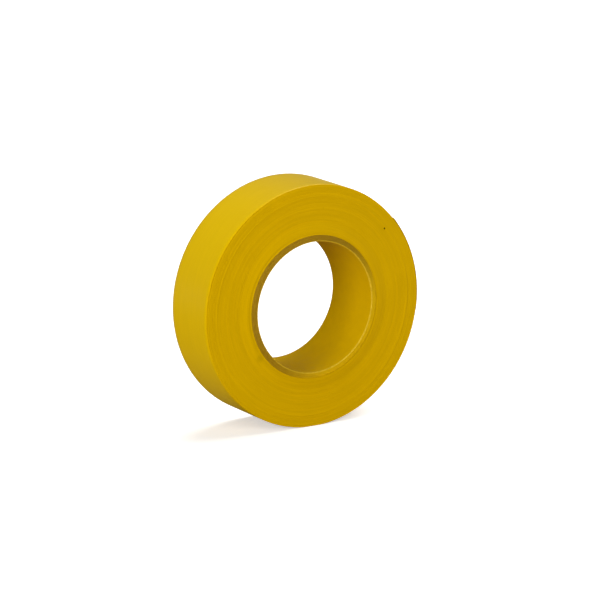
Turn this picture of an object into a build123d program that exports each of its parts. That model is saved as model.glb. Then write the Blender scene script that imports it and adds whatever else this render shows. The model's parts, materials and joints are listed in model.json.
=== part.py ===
from build123d import *
from math import asin, cos, degrees, pi, radians, sin
import os

# A roll of vinyl electrical tape on a paperboard core, standing on its tread.
# Frame: bore axis along Y, origin at the bore's centre, Z up, front side towards -Y.
# Angles are in the XZ plane, from +X towards +Z, so they turn anticlockwise seen from the front.

# Tape, mm
tape_width = 19.0
film_thickness = 0.105
adhesive_thickness = 0.025
tape_thickness = film_thickness + adhesive_thickness
turn_count = 112

# Paperboard core, mm
bore_radius = 19.0
liner_thickness = 0.25
ply_thickness = 0.5
ply_radius_1 = bore_radius + liner_thickness
ply_radius_2 = ply_radius_1 + ply_thickness
ply_radius_3 = ply_radius_2 + ply_thickness
core_radius = ply_radius_3 + ply_thickness
# The core stands out of both sides of the tape, and its kraft plies are cut back on a slope.
proud_inner = 1.1
proud_outer = 0.45

# Roll, mm
roll_radius = core_radius + turn_count * tape_thickness
# Slight flat that the soft roll stands on
flat_depth = 0.17
rest_height = roll_radius - flat_depth
# Slit beside the tape's inner end, where it starts on the core
start_slit = 0.4
start_angle = 200.0

# Free end of the tape, at the right of the roll, its segments counted from the root
tip_angle = 40.0
segment_length = 3.75
segment_names = ["lead_1", "lead_2", "lead_3", "lead_4", "lead_5", "lead_6", "lead_7", "lead_8"]
# The free end has lifted by this much
lead_lift = 0.02

half_width = tape_width / 2
half_core = half_width + proud_inner

# The tape's spiral: two half circles whose centres lie either side of the bore's axis on the
# line through the tip, so that the radius drops by one thickness in each turn.
centre_shift = tape_thickness / 4
seam_x = cos(radians(tip_angle))
seam_y = sin(radians(tip_angle))
near_centre = (centre_shift * seam_x, centre_shift * seam_y)
far_centre = (-centre_shift * seam_x, -centre_shift * seam_y)
near_radius = roll_radius - centre_shift
far_radius = roll_radius - 3 * centre_shift

lead_radius = near_radius + lead_lift
segment_angle = degrees(segment_length / lead_radius)
root_angle = tip_angle - len(segment_names) * segment_angle


def roll_outline(depth):
    """The roll's outline, with its flat and the tape's end step, at a depth below its surface."""
    near = near_radius - depth
    far = far_radius - depth
    flat_angle = degrees(asin((rest_height - depth + near_centre[1]) / near))
    with BuildLine() as outline:
        upper = CenterArc(far_centre, far, tip_angle, 180)
        left = CenterArc(near_centre, near, tip_angle - 180, flat_angle - tip_angle)
        right = CenterArc(near_centre, near, -flat_angle, flat_angle + tip_angle)
        Line(left @ 1, right @ 0)
        Line(right @ 1, upper @ 0)
    return outline.edges()


def lead_profile(index, outer_radius, inner_radius):
    """The side of one layer of a segment of the free end, counted from its root."""
    begin = root_angle + index * segment_angle
    with BuildLine() as outline:
        outer = CenterArc(near_centre, outer_radius, begin, segment_angle)
        inner = CenterArc(near_centre, inner_radius, begin, segment_angle)
        Line(outer @ 0, inner @ 0)
        Line(outer @ 1, inner @ 1)
    return outline.edges()


def core_half_length(radius):
    """Half the core's length at a radius, full over the liner, then sloping back over the plies."""
    slope_share = max(0.0, (radius - ply_radius_1) / (core_radius - ply_radius_1))
    return half_core - slope_share * (proud_inner - proud_outer)


def ply_profile(inner_radius, outer_radius):
    """A core ply's section to the right of the bore's axis."""
    inner_half = core_half_length(inner_radius)
    outer_half = core_half_length(outer_radius)
    with BuildLine() as outline:
        Polyline(
            (inner_radius, -inner_half),
            (outer_radius, -outer_half),
            (outer_radius, outer_half),
            (inner_radius, inner_half),
            close=True,
        )
    return outline.edges()


os.makedirs("parts", exist_ok=True)

# Printed paper liner, whose cut edge shows as a pale line round the bore
with BuildPart() as core_liner:
    with BuildSketch(Plane.XY):
        make_face(ply_profile(bore_radius, ply_radius_1))
    revolve(axis=Axis.Y)
core_liner.part.label = "core_liner"
export_step(core_liner.part, "parts/core_liner.step")

# Kraft plies, glued to the liner and to each other
with BuildPart() as core_ply_inner:
    with BuildSketch(Plane.XY):
        make_face(ply_profile(ply_radius_1, ply_radius_2))
    revolve(axis=Axis.Y)
core_ply_inner.part.label = "core_ply_inner"
export_step(core_ply_inner.part, "parts/core_ply_inner.step")

with BuildPart() as core_ply_middle:
    with BuildSketch(Plane.XY):
        make_face(ply_profile(ply_radius_2, ply_radius_3))
    revolve(axis=Axis.Y)
core_ply_middle.part.label = "core_ply_middle"
export_step(core_ply_middle.part, "parts/core_ply_middle.step")

with BuildPart() as core_ply_outer:
    with BuildSketch(Plane.XY):
        make_face(ply_profile(ply_radius_3, core_radius))
    revolve(axis=Axis.Y)
core_ply_outer.part.label = "core_ply_outer"
export_step(core_ply_outer.part, "parts/core_ply_outer.step")

# First turn of the tape, stuck to the core, with the slit at the tape's inner end
first_turn_radius = core_radius + tape_thickness
slit_mid_radius = core_radius + tape_thickness / 2
with BuildPart() as first_turn:
    with BuildSketch(Plane.XZ):
        Circle(first_turn_radius)
        Circle(core_radius, mode=Mode.SUBTRACT)
        with PolarLocations(slit_mid_radius, 1, start_angle=start_angle):
            Rectangle(2 * tape_thickness, start_slit, mode=Mode.SUBTRACT)
    extrude(amount=half_width, both=True)
first_turn.part.label = "first_turn"
export_step(first_turn.part, "parts/first_turn.step")

# Wound turns between the first and the last
with BuildPart() as tape_pack:
    with BuildSketch(Plane.XZ):
        make_face(roll_outline(tape_thickness))
        Circle(first_turn_radius, mode=Mode.SUBTRACT)
    extrude(amount=half_width, both=True)
tape_pack.part.label = "tape_pack"
export_step(tape_pack.part, "parts/tape_pack.step")

# Last turn that still sticks to the roll, from the end step round to the free end's root
cutter_reach = 2 * roll_radius
with BuildPart() as outer_turn:
    with BuildSketch(Plane.XZ):
        make_face(roll_outline(0))
        make_face(roll_outline(tape_thickness), mode=Mode.SUBTRACT)
        with BuildLine():
            lead_edge = PolarLine(near_centre, cutter_reach, tip_angle)
            root_edge = PolarLine(near_centre, cutter_reach, root_angle)
            Line(lead_edge @ 1, root_edge @ 1)
        make_face(mode=Mode.SUBTRACT)
    extrude(amount=half_width, both=True)
outer_turn.part.label = "outer_turn"
export_step(outer_turn.part, "parts/outer_turn.step")

# Free end, in short segments of vinyl film with the adhesive on their inner face
film_inner_radius = lead_radius - film_thickness
adhesive_inner_radius = lead_radius - tape_thickness
for index, segment_name in enumerate(segment_names):
    with BuildPart() as lead_film:
        with BuildSketch(Plane.XZ):
            make_face(lead_profile(index, lead_radius, film_inner_radius))
        extrude(amount=half_width, both=True)
    lead_film.part.label = segment_name
    export_step(lead_film.part, f"parts/{segment_name}.step")

    with BuildPart() as lead_adhesive:
        with BuildSketch(Plane.XZ):
            make_face(lead_profile(index, film_inner_radius, adhesive_inner_radius))
        extrude(amount=half_width, both=True)
    lead_adhesive.part.label = f"{segment_name}_adhesive"
    export_step(lead_adhesive.part, f"parts/{segment_name}_adhesive.step")

# Hinge lines of the free end, on the tape's outer surface where its segments meet
for index, segment_name in enumerate(segment_names):
    hinge_angle = radians(root_angle + index * segment_angle)
    hinge_x = near_centre[0] + lead_radius * cos(hinge_angle)
    hinge_z = near_centre[1] + lead_radius * sin(hinge_angle)
    print(f"{segment_name} hinge at X {hinge_x:.5f} Z {hinge_z:.5f} mm")

# Length of tape on the roll, from the area of its side
wound_length = pi * (roll_radius**2 - core_radius**2) / tape_thickness
print(f"roll diameter {2 * roll_radius:.2f} mm, tape length {wound_length / 1000:.1f} m")
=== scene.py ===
import json
import math

import bpy
import numpy as np
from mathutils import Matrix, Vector


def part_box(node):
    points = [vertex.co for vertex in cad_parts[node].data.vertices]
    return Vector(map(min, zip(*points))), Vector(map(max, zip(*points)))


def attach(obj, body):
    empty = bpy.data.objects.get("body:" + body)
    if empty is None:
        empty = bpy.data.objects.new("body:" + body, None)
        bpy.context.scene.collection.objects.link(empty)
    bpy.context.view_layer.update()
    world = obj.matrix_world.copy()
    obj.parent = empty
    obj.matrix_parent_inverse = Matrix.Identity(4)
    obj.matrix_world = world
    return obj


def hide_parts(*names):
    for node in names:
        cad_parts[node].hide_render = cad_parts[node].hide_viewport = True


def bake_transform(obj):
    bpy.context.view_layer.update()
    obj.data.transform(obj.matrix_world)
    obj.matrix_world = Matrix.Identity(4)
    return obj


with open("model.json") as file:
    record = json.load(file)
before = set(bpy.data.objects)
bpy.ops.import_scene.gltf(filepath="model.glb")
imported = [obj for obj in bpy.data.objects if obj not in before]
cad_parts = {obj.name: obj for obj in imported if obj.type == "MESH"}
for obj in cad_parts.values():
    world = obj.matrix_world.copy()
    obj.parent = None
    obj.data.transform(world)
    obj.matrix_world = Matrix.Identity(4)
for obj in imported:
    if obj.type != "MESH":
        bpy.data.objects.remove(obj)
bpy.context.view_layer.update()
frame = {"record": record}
rng = np.random.default_rng(19)

# ---------------------------------------------------------------- sizes, in metres
MM = 0.001
HALF_WIDTH = -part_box("tape_pack")[0].y
HALF_CORE = -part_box("core_liner")[0].y
FLOOR_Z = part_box("outer_turn")[0].z
BORE_RADIUS = frame["record"]["mounts"][0]["dims"]["r_mm"] * MM
TAPE = 0.13 * MM
FILM = 0.105 * MM
LINER_RADIUS = BORE_RADIUS + 0.25 * MM
PLY = 0.5 * MM
CORE_RADIUS = LINER_RADIUS + 3 * PLY
TURNS = 112
ROLL_RADIUS = CORE_RADIUS + TURNS * TAPE
FLAT = ROLL_RADIUS + FLOOR_Z
CORE_OUTER_HALF = HALF_WIDTH + 0.45 * MM

# The tape's spiral is made of half circles about two centres, a quarter thickness either side
# of the bore's axis on the line through the free end's tip.
SHIFT = TAPE / 4
TIP_ANGLE = math.radians(40)
LIFT = 0.02 * MM
NEAR_RADIUS = ROLL_RADIUS - SHIFT
LEAD_RADIUS = NEAR_RADIUS + LIFT
SEGMENT = 3.75 * MM
SEGMENTS = 8
LEAD_LENGTH = SEGMENTS * SEGMENT
ROOT_ANGLE = TIP_ANGLE - LEAD_LENGTH / LEAD_RADIUS


def smoothstep(low, high, x):
    t = np.clip((np.asarray(x, float) - low) / (high - low), 0, 1)
    return t * t * (3 - 2 * t)


def wander(seed, count, scale, amplitude):
    """A smooth random curve of count values that changes over about scale of them."""
    r = np.random.default_rng(seed)
    knots = r.normal(size=int(count / scale) + 4)
    at = np.arange(count) / scale
    i = at.astype(int)
    f = smoothstep(0, 1, at - i)
    return amplitude * (knots[i] * (1 - f) + knots[i + 1] * f)


def loop_wander(seed, angles, harmonics, amplitude):
    """A smooth random curve round the roll, the same after a full turn."""
    r = np.random.default_rng(seed)
    out = np.zeros_like(angles, dtype=float)
    for k in range(1, harmonics + 1):
        out += r.normal() / k**0.5 * np.cos(k * angles + r.uniform(0, 2 * math.pi))
    return amplitude * out / math.sqrt(harmonics)


def spiral_point(back, depth):
    """X and Z on the tape's outer surface at an angle back from its tip, less a depth."""
    back, depth = np.broadcast_arrays(np.asarray(back, float), np.asarray(depth, float))
    half = np.floor(back / math.pi + 1e-9)
    sign = np.where(half % 2 == 0, 1.0, -1.0)
    radius = NEAR_RADIUS - half * TAPE / 2 - depth
    angle = TIP_ANGLE - back
    x = sign * SHIFT * math.cos(TIP_ANGLE) + radius * np.cos(angle)
    z = sign * SHIFT * math.sin(TIP_ANGLE) + radius * np.sin(angle)
    below = half * TAPE / 2 + depth
    flat = FLAT * (1 - smoothstep(0, 6 * MM, below))
    return x, np.maximum(z, -(ROLL_RADIUS - below - flat))


# ---------------------------------------------------------------- meshes
def make_mesh(name, vertices, faces, materials, face_material=None, sharp=35.0):
    mesh = bpy.data.meshes.new(name)
    mesh.from_pydata(np.asarray(vertices).tolist(), [], faces)
    for material in materials:
        mesh.materials.append(material)
    if face_material is not None:
        mesh.polygons.foreach_set("material_index", np.asarray(face_material, np.int32))
    mesh.polygons.foreach_set("use_smooth", np.ones(len(mesh.polygons), bool))
    mesh.validate()
    mesh.update()
    mesh.set_sharp_from_angle(angle=math.radians(sharp))
    piece = bpy.data.objects.new(name, mesh)
    bpy.context.scene.collection.objects.link(piece)
    return piece


def ring_mesh(name, sections, materials, section_material, sharp=35.0):
    """A closed ring. sections is (angles, points, 2): radius and Y of each section's loop of points,
    which runs anticlockwise with radius to the right and Y up."""
    around, count = sections.shape[:2]
    angles = np.linspace(0, 2 * math.pi, around, endpoint=False)
    radius, y = sections[..., 0], sections[..., 1]
    x = radius * np.cos(angles)[:, None]
    z = radius * np.sin(angles)[:, None]
    vertices = np.stack([x, y, z], -1).reshape(-1, 3)
    faces, chosen = [], []
    for i in range(around):
        j = (i + 1) % around
        for p in range(count):
            q = (p + 1) % count
            faces.append((i * count + p, j * count + p, j * count + q, i * count + q))
            chosen.append(section_material[p])
    return make_mesh(name, vertices, faces, materials, chosen, sharp)


# ---------------------------------------------------------------- materials
def new_material(name):
    material = bpy.data.materials.new(name)
    material.use_nodes = True
    tree = material.node_tree
    tree.nodes.clear()
    output = tree.nodes.new("ShaderNodeOutputMaterial")
    shader = tree.nodes.new("ShaderNodeBsdfPrincipled")
    tree.links.new(shader.outputs["BSDF"], output.inputs["Surface"])
    return material, tree, shader


class Graph:
    """Short names for the node kinds that the materials use."""

    def __init__(self, tree):
        self.tree = tree

    def node(self, kind, **settings):
        made = self.tree.nodes.new(kind)
        for key, value in settings.items():
            setattr(made, key, value)
        return made

    def put(self, socket, value):
        if isinstance(value, bpy.types.NodeSocket):
            self.tree.links.new(value, socket)
        else:
            socket.default_value = value

    def math(self, operation, *values):
        made = self.node("ShaderNodeMath", operation=operation)
        for socket, value in zip(made.inputs, values):
            self.put(socket, value)
        return made.outputs[0]

    def ramp(self, value, low, high, out_low=0.0, out_high=1.0):
        made = self.node("ShaderNodeMapRange", interpolation_type="SMOOTHSTEP")
        for key, item in zip(
            ("Value", "From Min", "From Max", "To Min", "To Max"),
            (value, low, high, out_low, out_high),
        ):
            self.put(made.inputs[key], item)
        return made.outputs["Result"]

    def noise(self, vector, scale, detail=3.0, roughness=0.55):
        made = self.node("ShaderNodeTexNoise")
        self.put(made.inputs["Vector"], vector)
        made.inputs["Scale"].default_value = scale
        made.inputs["Detail"].default_value = detail
        made.inputs["Roughness"].default_value = roughness
        return made.outputs["Fac"]

    def mix(self, factor, first, second):
        made = self.node("ShaderNodeMix", data_type="RGBA")
        self.put(made.inputs["Factor"], factor)
        self.put(made.inputs["A"], first)
        self.put(made.inputs["B"], second)
        return made.outputs["Result"]

    def combine(self, x, y, z):
        made = self.node("ShaderNodeCombineXYZ")
        for socket, value in zip(made.inputs, (x, y, z)):
            self.put(socket, value)
        return made.outputs[0]

    def stretched(self, values, factors):
        """A vector of three values, each times its own factor."""
        return self.combine(*(self.math("MULTIPLY", v, f) for v, f in zip(values, factors)))

    def spot(self, x, y, z, centre, solid, reach, strength):
        """A round mark about a point, all in millimetres, that fades out from its solid middle."""
        apart = self.node("ShaderNodeVectorMath", operation="DISTANCE")
        self.put(apart.inputs[0], self.combine(x, y, z))
        apart.inputs[1].default_value = centre
        return self.ramp(apart.outputs["Value"], solid, reach, strength, 0.0)

    def bump(self, height, strength, distance):
        made = self.node("ShaderNodeBump")
        made.inputs["Strength"].default_value = strength
        made.inputs["Distance"].default_value = distance
        self.put(made.inputs["Height"], height)
        return made.outputs["Normal"]


def polar(g):
    """Object position, and in millimetres its radius from the bore's axis, X, Y and Z."""
    place = g.node("ShaderNodeTexCoord").outputs["Object"]
    split = g.node("ShaderNodeSeparateXYZ")
    g.put(split.inputs[0], place)
    x = g.math("MULTIPLY", split.outputs[0], MM_PER_METRE)
    y = g.math("MULTIPLY", split.outputs[1], MM_PER_METRE)
    z = g.math("MULTIPLY", split.outputs[2], MM_PER_METRE)
    square = g.math("ADD", g.math("MULTIPLY", x, x), g.math("MULTIPLY", z, z))
    radius = g.math("SQRT", square)
    return place, radius, x, y, z


def direction(g, x, z, radius):
    """X and Z of the unit vector out from the bore's axis."""
    return g.math("DIVIDE", x, radius), g.math("DIVIDE", z, radius)


def shade(colour, factor):
    return tuple(c * factor for c in colour[:3]) + (1.0,)


MM_PER_METRE = 1000.0
YELLOW = (0.62, 0.405, 0.0, 1.0)
FACE_YELLOW = (0.60, 0.362, 0.0, 1.0)
LINER_YELLOW = (0.53, 0.322, 0.0, 1.0)
SPECULAR_YELLOW = (1.0, 0.66, 0.0, 1.0)
DIRT = (0.26, 0.14, 0.0, 1)
SMUDGE_BROWN = (0.3, 0.19, 0.0, 1)
SPECK_BLACK = (0.03, 0.015, 0.0, 1)
ADHESIVE_DARK = (0.46, 0.27, 0.0, 1)
ADHESIVE_LIGHT = (0.55, 0.335, 0.0, 1)
KRAFT_DARK = (0.165, 0.085, 0.002, 1)
KRAFT_LIGHT = (0.27, 0.15, 0.009, 1)
KRAFT_BLOTCH = (0.19, 0.11, 0.01, 1)
# painted light: the colour of the lit side of the core's cut edge
PAINTED_LIGHT_YELLOW = (0.85, 0.55, 0.004, 1)
CUT_PAPER_DARK = (0.52, 0.34, 0.012, 1)
CUT_PAPER_LIGHT = (0.68, 0.46, 0.03, 1)
# The painted light on the core's cut edge is strongest towards this direction, X and Z, and falls off by
# this power.
PAINTED_LIGHT_TOWARD = (0.79, -0.61)
PAINTED_LIGHT_FALL = 2.6


# Two marks on the front side, in millimetres: a dark speck of dirt, and a smudge beside the core.
SPECK = (23.9, -9.5, 20.0)
SMUDGE = (-18.0, -9.7, -12.9)


def vinyl_tread():
    """Calendered vinyl film: glossy, with faint lengthwise streaks and cloudy changes in gloss."""
    material, tree, shader = new_material("vinyl_tread")
    g = Graph(tree)
    place, radius, x, y, z = polar(g)
    around, upward = direction(g, x, z, radius)
    streaks = g.noise(g.stretched((around, y, upward), (1.2, 0.9, 1.2)), 3.0, 4.0)
    clouds = g.noise(place, 90.0, 3.0)
    colour = g.mix(g.ramp(streaks, 0.3, 0.7), shade(YELLOW, 0.975), shade(YELLOW, 1.02))
    colour = g.mix(g.ramp(clouds, 0.35, 0.75, 0.0, 0.35), colour, shade(YELLOW, 0.95))
    g.put(shader.inputs["Base Color"], colour)
    gloss = g.ramp(g.noise(place, 45.0, 4.0), 0.3, 0.7, 0.3, 0.4)
    g.put(shader.inputs["Roughness"], gloss)
    shader.inputs["IOR"].default_value = 1.3
    shader.inputs["Specular Tint"].default_value = SPECULAR_YELLOW
    fine = g.noise(place, 900.0, 2.0)
    height = g.math("ADD", g.math("MULTIPLY", streaks, 0.7), g.math("MULTIPLY", fine, 0.12))
    g.put(shader.inputs["Normal"], g.bump(height, 0.25, 0.04 * MM))
    return material


def vinyl_side():
    """The slit edges of the wound turns: satin, in faint concentric bands, with a little dirt."""
    material, tree, shader = new_material("vinyl_side")
    g = Graph(tree)
    place, radius, x, y, z = polar(g)
    around, upward = direction(g, x, z, radius)
    bands = g.noise(g.stretched((around, radius, upward), (0.5, 1.1, 0.5)), 1.0, 4.0, 0.6)
    turns = g.noise(g.stretched((around, radius, upward), (2.5, 5.0, 2.5)), 1.0, 3.0, 0.6)
    clouds = g.noise(place, 60.0, 3.0)
    colour = g.mix(g.ramp(bands, 0.3, 0.7), shade(FACE_YELLOW, 0.93), shade(FACE_YELLOW, 1.05))
    colour = g.mix(g.ramp(turns, 0.35, 0.65, 0.0, 0.6), colour, shade(FACE_YELLOW, 0.88))
    colour = g.mix(g.ramp(clouds, 0.4, 0.8, 0.0, 0.4), colour, shade(FACE_YELLOW, 1.05))
    cells = g.node("ShaderNodeTexVoronoi")
    g.put(cells.inputs["Vector"], place)
    cells.inputs["Scale"].default_value = 260.0
    colour = g.mix(g.ramp(cells.outputs["Distance"], 0.02, 0.055, 0.5, 0.0), colour, DIRT)
    colour = g.mix(g.spot(x, y, z, SMUDGE, 0.4, 1.6, 0.3), colour, SMUDGE_BROWN)
    colour = g.mix(g.spot(x, y, z, SPECK, 0.2, 0.36, 1.0), colour, SPECK_BLACK)
    g.put(shader.inputs["Base Color"], colour)
    g.put(shader.inputs["Roughness"], g.ramp(turns, 0.3, 0.7, 0.42, 0.58))
    shader.inputs["IOR"].default_value = 1.45
    shader.inputs["Specular Tint"].default_value = SPECULAR_YELLOW
    g.put(shader.inputs["Normal"], g.bump(g.noise(place, 1500.0, 2.0), 0.2, 0.03 * MM))
    return material


def adhesive_film():
    """Tacky adhesive: darker than the film, wet-looking and faintly mottled."""
    material, tree, shader = new_material("adhesive_film")
    g = Graph(tree)
    place = polar(g)[0]
    mottle = g.noise(place, 350.0, 4.0)
    colour = g.mix(g.ramp(mottle, 0.3, 0.7), ADHESIVE_DARK, ADHESIVE_LIGHT)
    g.put(shader.inputs["Base Color"], colour)
    g.put(shader.inputs["Roughness"], g.ramp(mottle, 0.3, 0.7, 0.2, 0.32))
    shader.inputs["IOR"].default_value = 1.35
    shader.inputs["Specular Tint"].default_value = SPECULAR_YELLOW
    g.put(shader.inputs["Normal"], g.bump(mottle, 0.25, 0.04 * MM))
    return material


def kraft_board():
    """Unbleached paper, cut across its plies: brown, fibrous and matt, with painted light along the lower
    right.
    """
    material, tree, shader = new_material("kraft_board")
    g = Graph(tree)
    place, radius, x, y, z = polar(g)
    around, upward = direction(g, x, z, radius)
    fibres = g.noise(g.stretched((around, radius, upward), (12.0, 7.0, 12.0)), 1.0, 5.0, 0.65)
    blotches = g.noise(place, 260.0, 3.0)
    brown = g.mix(g.ramp(fibres, 0.3, 0.7), KRAFT_DARK, KRAFT_LIGHT)
    brown = g.mix(g.ramp(blotches, 0.35, 0.75, 0.0, 0.5), brown, KRAFT_BLOTCH)
    # The cut edge is painted lighter and yellow along the lower right, as in the photo: painted light,
    # standing in for the light that falls on that side. The cut edge is yellow along the lower right
    # in the photo, for a reason that isn't known.
    toward = g.math(
        "ADD", g.math("MULTIPLY", around, PAINTED_LIGHT_TOWARD[0]), g.math("MULTIPLY", upward, PAINTED_LIGHT_TOWARD[1])
    )
    ragged = g.math("ADD", toward, g.math("MULTIPLY", g.math("SUBTRACT", blotches, 0.5), 0.3))
    nearness = g.math("MAXIMUM", g.math("MULTIPLY", g.math("ADD", ragged, 1.0), 0.5), 0.0)
    painted_light = g.ramp(g.math("POWER", nearness, PAINTED_LIGHT_FALL), 0.0, 1.0, 0.08, 1.0)
    colour = g.mix(painted_light, brown, PAINTED_LIGHT_YELLOW)
    g.put(shader.inputs["Base Color"], colour)
    shader.inputs["Roughness"].default_value = 0.85
    shader.inputs["Specular IOR Level"].default_value = 0.05
    g.put(shader.inputs["Normal"], g.bump(fibres, 0.6, 0.08 * MM))
    return material


def printed_liner():
    """Paper printed solid yellow and matt, with a faint grain."""
    material, tree, shader = new_material("printed_liner")
    g = Graph(tree)
    place = polar(g)[0]
    grain = g.noise(place, 420.0, 4.0)
    clouds = g.noise(place, 70.0, 2.0)
    colour = g.mix(g.ramp(grain, 0.3, 0.7), shade(LINER_YELLOW, 0.97), shade(LINER_YELLOW, 1.03))
    colour = g.mix(g.ramp(clouds, 0.35, 0.75, 0.0, 0.4), colour, shade(LINER_YELLOW, 0.94))
    g.put(shader.inputs["Base Color"], colour)
    g.put(shader.inputs["Roughness"], g.ramp(grain, 0.3, 0.7, 0.5, 0.62))
    shader.inputs["Specular IOR Level"].default_value = 0.03
    shader.inputs["Specular Tint"].default_value = SPECULAR_YELLOW
    g.put(shader.inputs["Normal"], g.bump(grain, 0.25, 0.04 * MM))
    return material


def liner_edge():
    """The liner's cut and scuffed edge, where its pale paper shows."""
    material, tree, shader = new_material("liner_edge")
    g = Graph(tree)
    place = polar(g)[0]
    fibres = g.noise(place, 1400.0, 4.0, 0.65)
    colour = g.mix(g.ramp(fibres, 0.3, 0.7), CUT_PAPER_DARK, CUT_PAPER_LIGHT)
    g.put(shader.inputs["Base Color"], colour)
    shader.inputs["Roughness"].default_value = 0.8
    shader.inputs["Specular IOR Level"].default_value = 0.05
    g.put(shader.inputs["Normal"], g.bump(fibres, 0.5, 0.05 * MM))
    return material


tread_vinyl = vinyl_tread()
side_vinyl = vinyl_side()
adhesive = adhesive_film()
kraft = kraft_board()
liner_print = printed_liner()
liner_paper = liner_edge()

# ---------------------------------------------------------------- wound tape
STEPS = 200
STEP = 2 * math.pi / STEPS
ROOT_BACK = TIP_ANGLE - ROOT_ANGLE
SHOULDER = 0.24 * MM
SHOULDER_SINK = 0.75
LIP = 0.38 * MM
LIP_START = 0.45 * MM
LIP_END = 4.2 * MM
GROOVE = 0.012 * MM
TREAD_COLUMNS = 15
TREAD_INSET = 0.25 * MM
TREAD_RIPPLE = 0.006 * MM
TREAD_CROWN = 0.01 * MM


def side_height(below, radius, turn_offset):
    """How far the side stands out of the tape's nominal width, for points below the tread."""
    shoulder = np.clip(1 - below / SHOULDER, 0, 1)
    rounding = -SHOULDER * SHOULDER_SINK * (1 - np.sqrt(np.clip(1 - shoulder**2, 0, 1)))
    inside_rim = -0.03 * MM * np.exp(-(((below - 0.55 * MM) / (0.16 * MM)) ** 2))
    lip = LIP * (1 - smoothstep(LIP_START, LIP_END, radius - CORE_RADIUS))
    return rounding + inside_rim + lip + turn_offset


def wound_tape():
    inner_limit = CORE_RADIUS + TAPE
    total = int((TURNS * 2 * math.pi - ROOT_BACK) / STEP)
    back = ROOT_BACK + STEP * np.arange(total + 1)
    angle = TIP_ANGLE - back
    columns = np.linspace(-1, 1, TREAD_COLUMNS)
    slow = wander(3, total + 1, STEPS * 3.0, 0.012 * MM)
    quick = wander(4, total + 1, STEPS * 1.1, 0.009 * MM)
    local = wander(5, total + 1, STEPS / 9, 0.003 * MM)
    wave = slow + quick + local
    rows = []
    for side in (-1, 1):
        for depth, sunk in ((0.0, GROOVE), (TAPE / 2, 0.0)):
            x, z = spiral_point(back, depth)
            radius = np.hypot(x, z)
            too_deep = radius < inner_limit
            x = np.where(too_deep, x * inner_limit / radius, x)
            z = np.where(too_deep, z * inner_limit / radius, z)
            radius = np.maximum(radius, inner_limit)
            below = np.maximum(back - ROOT_BACK, 0) / (2 * math.pi) * TAPE + depth
            below = np.where(back < ROOT_BACK + 2 * math.pi, depth, below)
            height = side_height(below, radius, wave - sunk)
            y = side * (HALF_WIDTH + height)
            rows.append(np.stack([x, y, z], -1))
    front_groove, front_ridge, rear_groove, rear_ridge = rows
    n = total + 1
    vertices = [front_groove, front_ridge, rear_groove, rear_ridge]
    faces = []
    fg, fr, rg, rr = 0, n, 2 * n, 3 * n  # where each row of vertices begins
    for j in range(n - 1):
        faces.append((fg + j, fg + j + 1, fr + j + 1, fr + j))
        faces.append((rg + j + 1, rg + j, rr + j, rr + j + 1))
        k = j + STEPS
        if k + 1 < n:
            faces.append((fr + j, fr + j + 1, fg + k + 1, fg + k))
            faces.append((rr + j + 1, rr + j, rg + k, rg + k + 1))
    chosen = [1] * len(faces)
    # tread, over one turn, with a slight crown and waviness
    tread_n = STEPS + 1
    grid = 4 * n
    gx, gz = front_groove[:tread_n, 0], front_groove[:tread_n, 2]
    sheet = []
    ripple = loop_wander(21, angle[:tread_n], 14, TREAD_RIPPLE)
    for column in columns[1:-1]:
        y = column * (HALF_WIDTH - TREAD_INSET)
        swell = ripple * (1 - column**2) + TREAD_CROWN * (1 - column**2)
        scale = 1 + swell / ROLL_RADIUS
        z = np.maximum(gz * scale, FLOOR_Z)
        sheet.append(np.stack([gx * scale, np.full(tread_n, y), z], -1))
    vertices += sheet
    strips = (
        [list(range(fg, fg + tread_n))]
        + [list(range(grid + c * tread_n, grid + (c + 1) * tread_n)) for c in range(len(sheet))]
        + [list(range(rg, rg + tread_n))]
    )
    for a, b in zip(strips, strips[1:]):
        for j in range(tread_n - 1):
            faces.append((a[j + 1], a[j], b[j], b[j + 1]))
            chosen.append(0)
    # end face of the last stuck turn, under the free end's root
    first = [s[0] for s in strips]
    last = [s[-1] for s in strips]
    for a, b, c, d in zip(first, first[1:], last[1:], last):
        faces.append((a, b, c, d))
        chosen.append(1)
    # inner surface, against the first turn
    inner = n - 1 - STEPS
    for j in range(inner, n - 1):
        faces.append((fr + j + 1, fr + j, rr + j, rr + j + 1))
        chosen.append(1)
    return make_mesh("wound_tape", np.concatenate(vertices), faces, [tread_vinyl, side_vinyl], chosen, 50.0)


roll_tape = wound_tape()
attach(roll_tape, "roll")
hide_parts("tape_pack", "outer_turn")

# ---------------------------------------------------------------- first turn
AROUND = 256
ring_angles = np.linspace(0, 2 * math.pi, AROUND, endpoint=False)


def first_turn():
    proud = HALF_WIDTH + LIP + 0.03 * MM + loop_wander(31, ring_angles, 9, 0.02 * MM)
    r0, r1 = CORE_RADIUS, CORE_RADIUS + TAPE
    corner = 0.03 * MM
    section = [
        (r0, -proud + corner), (r0 + corner, -proud), (r1 - corner, -proud), (r1, -proud + corner),
        (r1, proud - corner), (r1 - corner, proud), (r0 + corner, proud), (r0, proud - corner),
    ]
    points = np.zeros((AROUND, len(section), 2))
    for p, (radius, y) in enumerate(section):
        points[:, p, 0] = radius
        points[:, p, 1] = y
    return ring_mesh("first_turn_tape", points, [side_vinyl], [0] * len(section), 60.0)


start_turn = first_turn()
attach(start_turn, "roll")
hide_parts("first_turn")


# ---------------------------------------------------------------- core
PLY_COLUMNS = 6
PLY_BURR = 0.02 * MM
PLY_ROUGHNESS = 0.012 * MM
PLY_EDGE_DROP = 0.05 * MM
PLY_NODES = (
    ("kraft_ply_inner", "core_ply_inner"),
    ("kraft_ply_middle", "core_ply_middle"),
    ("kraft_ply_outer", "core_ply_outer"),
)


def core_half(radius):
    """Half the core's width at a radius, along the slope of its cut ends."""
    share = np.clip((radius - LINER_RADIUS) / (CORE_RADIUS - LINER_RADIUS), 0, 1)
    return HALF_CORE - share * (HALF_CORE - CORE_OUTER_HALF)


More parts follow.
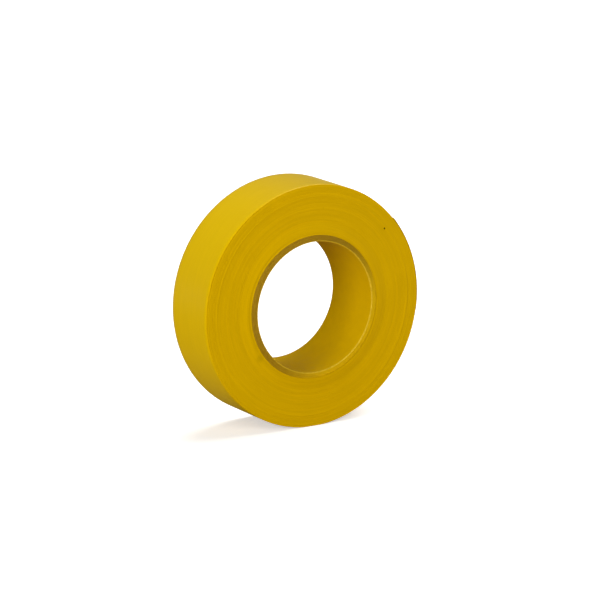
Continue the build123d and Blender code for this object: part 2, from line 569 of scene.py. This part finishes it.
def core_ply(name, r0, r1, seed):
    """A kraft ply with a rough, fibrous cut at both ends."""
    across = PLY_COLUMNS
    radii = np.linspace(r0, r1, across)
    r = np.random.default_rng(seed)
    ends = []
    for side in (-1, 1):
        burr = loop_wander(seed + side, ring_angles, 40, PLY_BURR)
        rough = r.normal(scale=PLY_ROUGHNESS, size=(AROUND, across))
        edge = np.zeros(across)
        edge[[0, -1]] = PLY_EDGE_DROP
        ends.append(core_half(radii)[None, :] + burr[:, None] + rough - edge[None, :])
    front, rear = ends
    points = np.zeros((AROUND, 2 * across, 2))
    points[:, :across, 0] = radii
    points[:, :across, 1] = -front
    points[:, across:, 0] = radii[::-1]
    points[:, across:, 1] = rear[:, ::-1]
    return ring_mesh(name, points, [kraft], [0] * (2 * across), 60.0)


for k, (piece_name, node) in enumerate(PLY_NODES):
    ply = core_ply(piece_name, LINER_RADIUS + k * PLY, LINER_RADIUS + (k + 1) * PLY, 40 + 3 * k)
    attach(ply, "roll")
    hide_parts(node)


def liner():
    """The printed liner, with its scuffed pale edges turned slightly outwards."""
    edge_front = loop_wander(61, ring_angles, 24, 0.02 * MM)
    edge_rear = loop_wander(62, ring_angles, 24, 0.02 * MM)
    bevel = 0.42 * MM
    kinds = []
    ys = np.linspace(HALF_CORE - bevel, -(HALF_CORE - bevel), 13)
    loop = [
        (BORE_RADIUS + 0.1 * MM, -HALF_CORE, 1, edge_front),
        (LINER_RADIUS - 0.02 * MM, -HALF_CORE - 0.02 * MM, 1, edge_front),
        (LINER_RADIUS, -HALF_CORE + 0.04 * MM, 1, edge_front),
        (LINER_RADIUS, HALF_CORE - 0.04 * MM, 1, edge_rear),
        (LINER_RADIUS - 0.02 * MM, HALF_CORE + 0.02 * MM, 1, edge_rear),
        (BORE_RADIUS + 0.1 * MM, HALF_CORE, 1, edge_rear),
        (BORE_RADIUS + 0.03 * MM, HALF_CORE - 0.2 * MM, 1, edge_rear),
    ]
    loop += [(BORE_RADIUS, y, 0, np.zeros(AROUND)) for y in ys]
    loop += [(BORE_RADIUS + 0.03 * MM, -HALF_CORE + 0.2 * MM, 1, edge_front)]
    points = np.zeros((AROUND, len(loop), 2))
    for p, (radius, y, kind, moved) in enumerate(loop):
        points[:, p, 0] = radius
        points[:, p, 1] = y + math.copysign(1, y) * moved if abs(y) > HALF_CORE - bevel else y
        kinds.append(kind)
    kinds[6 + len(ys)] = 1  # the front bevel's face, which starts at the last printed point
    return ring_mesh("core_liner_print", points, [liner_print, liner_paper], kinds, 60.0)


liner_piece = liner()
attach(liner_piece, "roll")
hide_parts("core_liner")

# ---------------------------------------------------------------- free end
ALONG = 0.3 * MM
ACROSS = 16


ROOT_EASE = 2 * MM
TIP_CURL = 0.05 * MM
TIP_CURL_LENGTH = 4 * MM
RAGGED_LENGTH = 2 * MM


def lead_point(out, depth):
    """X and Z on the free end, out from its root along the strip, less a depth."""
    out = np.asarray(out, float)
    ease = LIFT * smoothstep(0, ROOT_EASE, out)
    curl = TIP_CURL * smoothstep(LEAD_LENGTH - TIP_CURL_LENGTH, LEAD_LENGTH, out)
    radius = NEAR_RADIUS + ease + curl - depth
    angle = ROOT_ANGLE + out / LEAD_RADIUS
    x = SHIFT * math.cos(TIP_ANGLE) + radius * np.cos(angle)
    z = SHIFT * math.sin(TIP_ANGLE) + radius * np.sin(angle)
    return x, z


def strip_piece(name, out0, out1, depth_out, depth_in, materials, kinds):
    """A closed piece of the strip: outer face, inner face and edges, in that order of kinds."""
    count = max(2, int(round((out1 - out0) / ALONG)) + 1)
    out = np.linspace(out0, out1, count)
    columns = np.linspace(-1, 1, ACROSS + 1)
    ragged = 0.08 * MM * np.sin(columns * 7 + 1) + rng.normal(scale=0.02 * MM, size=ACROSS + 1)
    vertices = []
    for depth, narrow in ((depth_out, 0.03 * MM), (depth_in, 0.0)):
        for j in range(count):
            far = out[j] + ragged * smoothstep(LEAD_LENGTH - RAGGED_LENGTH, LEAD_LENGTH, out[j])
            x, z = lead_point(far, depth)
            y = columns * (HALF_WIDTH - narrow)
            vertices.append(np.stack([x, y, z], -1))
    vertices = np.concatenate(vertices)
    w = ACROSS + 1
    base = count * w
    faces, chosen = [], []
    for j in range(count - 1):
        for c in range(ACROSS):
            a, b = j * w + c, (j + 1) * w + c
            faces.append((a, a + 1, b + 1, b))
            chosen.append(kinds[0])
            faces.append((base + a, base + b, base + b + 1, base + a + 1))
            chosen.append(kinds[1])
        for a, b in ((j * w, (j + 1) * w), ((j + 1) * w + ACROSS, j * w + ACROSS)):
            faces.append((a, b, base + b, base + a))
            chosen.append(kinds[2])
    for c in range(ACROSS):
        faces.append((c, base + c, base + c + 1, c + 1))
        a = (count - 1) * w + c
        faces.append((a, a + 1, base + a + 1, base + a))
        chosen += [kinds[2]] * 2
    return make_mesh(name, vertices, faces, materials, chosen, 40.0)


for k in range(SEGMENTS):
    begin = max(0.0, (k - 0.5) * SEGMENT)
    bend_end = (k + 0.5) * SEGMENT
    end = LEAD_LENGTH if k == SEGMENTS - 1 else bend_end
    film = strip_piece(f"free_end_film_{k + 1}", begin, end, 0.0, FILM, [tread_vinyl, side_vinyl], (0, 0, 1))
    glue = strip_piece(f"free_end_adhesive_{k + 1}", begin, end, FILM, TAPE, [adhesive], (0, 0, 0))
    for piece, node, slot in (
        (film, f"lead_{k + 1}", "vinyl"),
        (glue, f"lead_{k + 1}_adhesive", "adhesive"),
    ):
        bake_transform(piece)
        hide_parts(node)


# ---------------------------------------------------------------- floor, light and camera
FLOOR_REACH = 6.0
NEAR_BOUNCE = (0.34, 0.26, 0.05, 1)
FAR_BOUNCE = (0.5, 0.5, 0.48, 1)
FLOOR_GLOW = 0.4


def studio_floor():
    """White to the eye, but dimmer and warmer in the light that it throws back at the roll."""
    material, tree, shader = new_material("studio_floor")
    g = Graph(tree)
    place = g.node("ShaderNodeTexCoord").outputs["Object"]
    seen = g.node("ShaderNodeLightPath").outputs["Is Camera Ray"]
    grain = g.noise(place, 3.0, 3.0)
    pale = g.mix(grain, (0.93, 0.93, 0.93, 1), (0.95, 0.95, 0.95, 1))
    apart = g.node("ShaderNodeVectorMath", operation="LENGTH")
    g.put(apart.inputs[0], place)
    bounce = g.mix(g.ramp(apart.outputs["Value"], 0.08, 0.7), NEAR_BOUNCE, FAR_BOUNCE)
    g.put(shader.inputs["Base Color"], g.mix(seen, bounce, pale))
    g.put(shader.inputs["Emission Strength"], g.math("MULTIPLY", seen, FLOOR_GLOW))
    shader.inputs["Emission Color"].default_value = (1, 1, 1, 1)
    shader.inputs["Roughness"].default_value = 0.9
    shader.inputs["Specular IOR Level"].default_value = 0.1
    corners = [(x * FLOOR_REACH, y * FLOOR_REACH, FLOOR_Z) for x, y in ((-1, -1), (1, -1), (1, 1), (-1, 1))]
    floor = make_mesh("studio_floor", corners, [(0, 1, 2, 3)], [material])


studio_floor()


def soft_light(name, place, size, power):
    """A rectangular lamp aimed at the roll's centre."""
    data = bpy.data.lights.new(name, "AREA")
    data.shape = "RECTANGLE"
    data.size, data.size_y = size
    data.energy = power
    lamp = bpy.data.objects.new(name, data)
    bpy.context.scene.collection.objects.link(lamp)
    lamp.location = place
    lamp.rotation_euler = (-Vector(place)).to_track_quat("-Z", "Y").to_euler()


soft_light("key", (-2.0, -1.02, 0.48), (1.3, 0.66), 42)
soft_light("fill", (-0.35, -2.1, 0.95), (1.4, 1.0), 20)
soft_light("top", (0.7, 0.3, 1.65), (1.8, 1.8), 33)
soft_light("side", (2.1, 0.6, 0.4), (1.2, 0.8), 18)

world = bpy.data.worlds.new("studio")
bpy.context.scene.world = world
world.use_nodes = True
world.node_tree.nodes["Background"].inputs["Color"].default_value = (1, 1, 1, 1)
world.node_tree.nodes["Background"].inputs["Strength"].default_value = 0.15

CAMERA_AZIMUTH = math.radians(-31.59)
CAMERA_ELEVATION = math.radians(13.36)
CAMERA_DISTANCE = 0.949
CAMERA_LENS = 198.9
CAMERA_SHIFT = 0.0067
back = Vector((
    math.sin(CAMERA_AZIMUTH) * math.cos(CAMERA_ELEVATION),
    -math.cos(CAMERA_AZIMUTH) * math.cos(CAMERA_ELEVATION),
    math.sin(CAMERA_ELEVATION),
))
camera_data = bpy.data.cameras.new("camera")
camera_data.lens = CAMERA_LENS
camera_data.sensor_width = 36
camera_data.shift_x = CAMERA_SHIFT
camera_data.clip_start = 0.05
camera_data.clip_end = 50
camera = bpy.data.objects.new("camera", camera_data)
bpy.context.scene.collection.objects.link(camera)
camera.location = back * CAMERA_DISTANCE
camera.rotation_euler = (-back).to_track_quat("-Z", "Y").to_euler()
bpy.context.scene.camera = camera
bpy.context.scene.view_settings.view_transform = "Standard"
bpy.context.scene.view_settings.look = "None"
